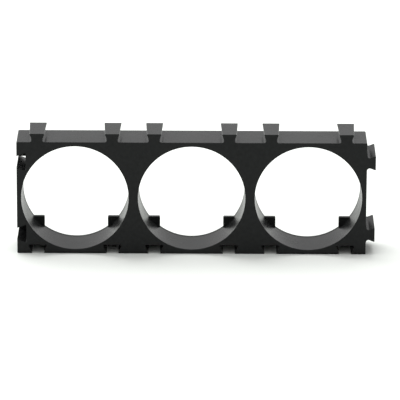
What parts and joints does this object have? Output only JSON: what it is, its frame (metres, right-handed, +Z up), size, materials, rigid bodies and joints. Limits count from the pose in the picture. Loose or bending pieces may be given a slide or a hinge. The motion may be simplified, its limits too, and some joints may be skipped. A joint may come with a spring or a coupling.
{
  "type": "battery cell holder bracket",
  "caption": "Rectangular moulded bracket that holds cylindrical battery cells side by side by their ends, with corner stops and dovetail tabs and slots that join it to others",
  "frame": {"origin": "on the axis of the middle cell bore, half way from the open side to the corner stops", "axes": "+X along the row towards the end tabs, +Y from the open side to the side with the corner stops, +Z up towards the top tabs"},
  "size_m": [0.0617, 0.0077, 0.0215],
  "materials": {
    "black_plastic": "black moulded ABS, semi-matt, with a broad sheen at grazing angles"
  },
  "bodies": {
    "root": {"cell_holder_bracket": "black_plastic"}
  },
  "joints": []
}
